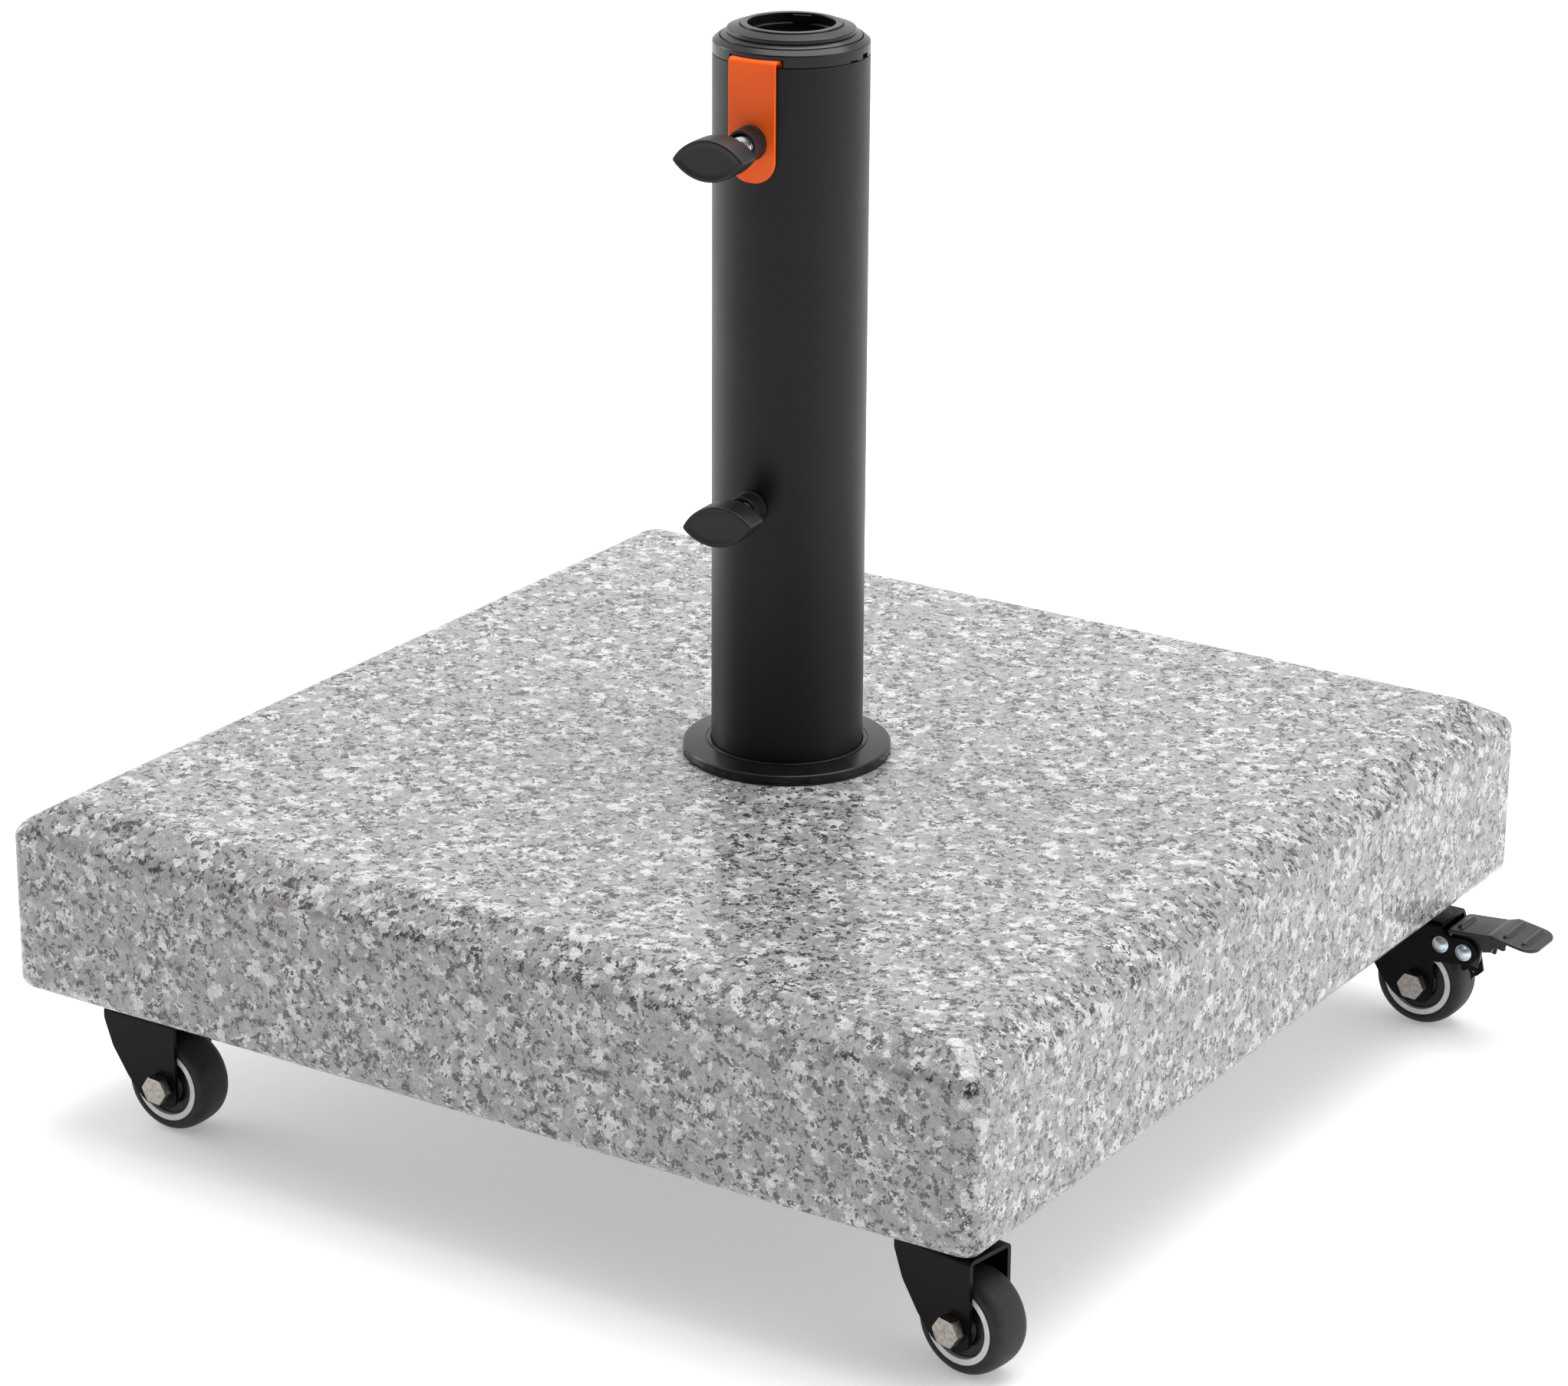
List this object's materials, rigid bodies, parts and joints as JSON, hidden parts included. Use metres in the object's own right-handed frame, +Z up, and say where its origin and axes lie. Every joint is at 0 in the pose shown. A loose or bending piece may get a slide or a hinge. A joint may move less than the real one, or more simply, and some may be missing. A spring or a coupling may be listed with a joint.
{
  "type": "parasol base",
  "caption": "Square granite parasol base on swivel casters with brakes, with a steel column, nested pole reducers and hand clamp screws.",
  "frame": {"origin": "on the floor, under the centre of the slab", "axes": "+Z up; -Y faces the clamp screws, within 4.5 degrees; +X along the slab's side, the way the braked casters' pedals stick out"},
  "size_m": [0.6358, 0.55, 0.543],
  "materials": {
    "granite": "polished",
    "powder_coat": "matte",
    "black_plastic": "satin",
    "orange_paint": "satin",
    "steel": "satin",
    "zinc": "satin",
    "black_steel": "satin",
    "tyre": "matte",
    "rim_plastic": "satin",
    "gasket_rubber": "matte"
  },
  "bodies": {
    "base": {"granite_slab": "granite", "anchor_bolt": "steel", "anchor_washer": "zinc", "foot_gasket": "gasket_rubber", "foot_plate": "steel", "cover_ring": "black_plastic", "column_tube": "powder_coat", "top_cap": "black_plastic", "cap_insert": "black_plastic", "clamp_tongue": "orange_paint", "upper_nut_bush": "powder_coat", "lower_nut_bush": "powder_coat", "caster_plate_front_left": "zinc", "caster_plate_front_right": "zinc", "caster_plate_rear_right": "zinc", "caster_plate_rear_left": "zinc"},
    "large_reducer": {"reducer_large": "black_plastic"},
    "small_reducer": {"reducer_small": "black_plastic"},
    "upper_pad": {"upper_pressure_pad": "black_plastic"},
    "upper_hand_screw": {"upper_knob": "black_plastic", "upper_screw": "steel"},
    "lower_pad": {"lower_pressure_pad": "black_plastic"},
    "lower_hand_screw": {"lower_knob": "black_plastic", "lower_screw": "steel"},
    "swivel_front_left": {"fork_front_left": "black_steel", "axle_bolt_front_left": "steel", "axle_nut_front_left": "steel"},
    "wheel_front_left": {"wheel_core_front_left": "rim_plastic", "tyre_front_left": "tyre", "hub_cap_outer_front_left": "black_plastic", "hub_cap_inner_front_left": "black_plastic"},
    "swivel_front_right": {"fork_front_right": "black_steel", "axle_bolt_front_right": "steel", "axle_nut_front_right": "steel"},
    "wheel_front_right": {"wheel_core_front_right": "rim_plastic", "tyre_front_right": "tyre", "hub_cap_outer_front_right": "black_plastic", "hub_cap_inner_front_right": "black_plastic"},
    "swivel_rear_right": {"fork_rear_right": "black_steel", "axle_bolt_rear_right": "steel", "axle_nut_rear_right": "steel", "pedal_rivet_rear_right": "zinc", "shoe_rivet_rear_right": "zinc"},
    "wheel_rear_right": {"wheel_core_rear_right": "rim_plastic", "tyre_rear_right": "tyre", "hub_cap_outer_rear_right": "black_plastic", "hub_cap_inner_rear_right": "black_plastic"},
    "pedal_rear_right": {"brake_pedal_rear_right": "black_steel"},
    "shoe_rear_right": {"brake_shoe_rear_right": "black_steel"},
    "swivel_rear_left": {"fork_rear_left": "black_steel", "axle_bolt_rear_left": "steel", "axle_nut_rear_left": "steel", "pedal_rivet_rear_left": "zinc", "shoe_rivet_rear_left": "zinc"},
    "wheel_rear_left": {"wheel_core_rear_left": "rim_plastic", "tyre_rear_left": "tyre", "hub_cap_outer_rear_left": "black_plastic", "hub_cap_inner_rear_left": "black_plastic"},
    "pedal_rear_left": {"brake_pedal_rear_left": "black_steel"},
    "shoe_rear_left": {"brake_shoe_rear_left": "black_steel"}
  },
  "joints": [
    {"name": "large_reducer_lift", "type": "slide", "parent": "base", "child": "large_reducer", "axis": [0, 0, 1], "range_m": [0, 0.095]},
    {"name": "small_reducer_lift", "type": "slide", "parent": "large_reducer", "child": "small_reducer", "axis": [0, 0, 1], "range_m": [0, 0.09]},
    {"name": "upper_pad_travel", "type": "slide", "parent": "base", "child": "upper_pad", "axis": [0.0785, -0.9969, 0], "range_m": [-0.00225, 0.003]},
    {"name": "upper_screw_turn", "type": "hinge", "parent": "upper_pad", "child": "upper_hand_screw", "pos_m": [0.00651, -0.08274, 0.4925], "axis": [0.0785, -0.9969, 0], "range_deg": [-540, 720]},
    {"name": "lower_pad_travel", "type": "slide", "parent": "base", "child": "lower_pad", "axis": [0.0785, -0.9969, 0], "range_m": [-0.00225, 0.009]},
    {"name": "lower_screw_turn", "type": "hinge", "parent": "lower_pad", "child": "lower_hand_screw", "pos_m": [0.00581, -0.07377, 0.31], "axis": [0.0785, -0.9969, 0], "range_deg": [-540, 2160]},
    {"name": "swivel_front_left", "type": "hinge", "parent": "base", "child": "swivel_front_left", "pos_m": [-0.231, -0.231, 0.0612], "axis": [0, 0, 1], "continuous": true},
    {"name": "wheel_front_left", "type": "hinge", "parent": "swivel_front_left", "child": "wheel_front_left", "pos_m": [-0.2102, -0.231, 0.025], "axis": [0, 1, 0], "continuous": true},
    {"name": "swivel_front_right", "type": "hinge", "parent": "base", "child": "swivel_front_right", "pos_m": [0.231, -0.231, 0.0612], "axis": [0, 0, 1], "continuous": true},
    {"name": "wheel_front_right", "type": "hinge", "parent": "swivel_front_right", "child": "wheel_front_right", "pos_m": [0.25156, -0.23415, 0.025], "axis": [0.1513, 0.9885, 0], "continuous": true},
    {"name": "swivel_rear_right", "type": "hinge", "parent": "base", "child": "swivel_rear_right", "pos_m": [0.231, 0.231, 0.0612], "axis": [0, 0, 1], "continuous": true},
    {"name": "wheel_rear_right", "type": "hinge", "parent": "swivel_rear_right", "child": "wheel_rear_right", "pos_m": [0.2518, 0.231, 0.025], "axis": [0, 1, 0], "continuous": true},
    {"name": "pedal_rear_right", "type": "hinge", "parent": "swivel_rear_right", "child": "pedal_rear_right", "pos_m": [0.2786, 0.231, 0.0486], "axis": [0, 1, 0], "range_deg": [0, 12]},
    {"name": "shoe_rear_right", "type": "hinge", "parent": "swivel_rear_right", "child": "shoe_rear_right", "pos_m": [0.2654, 0.231, 0.0502], "axis": [0, 1, 0], "range_deg": [0, 4.3]},
    {"name": "swivel_rear_left", "type": "hinge", "parent": "base", "child": "swivel_rear_left", "pos_m": [-0.231, 0.231, 0.0612], "axis": [0, 0, 1], "continuous": true},
    {"name": "wheel_rear_left", "type": "hinge", "parent": "swivel_rear_left", "child": "wheel_rear_left", "pos_m": [-0.2518, 0.231, 0.025], "axis": [0, -1, 0], "continuous": true},
    {"name": "pedal_rear_left", "type": "hinge", "parent": "swivel_rear_left", "child": "pedal_rear_left", "pos_m": [-0.2786, 0.231, 0.0486], "axis": [0, -1, 0], "range_deg": [0, 12]},
    {"name": "shoe_rear_left", "type": "hinge", "parent": "swivel_rear_left", "child": "shoe_rear_left", "pos_m": [-0.2654, 0.231, 0.0502], "axis": [0, -1, 0], "range_deg": [0, 4.3]}
  ],
  "couplings": [
    {"joint": "upper_screw_turn", "follows": "upper_pad_travel", "rad_per_m": 4188.8},
    {"joint": "lower_screw_turn", "follows": "lower_pad_travel", "rad_per_m": 4188.8},
    {"joint": "shoe_rear_right", "follows": "pedal_rear_right", "ratio": 0.35},
    {"joint": "shoe_rear_left", "follows": "pedal_rear_left", "ratio": 0.35}
  ]
}
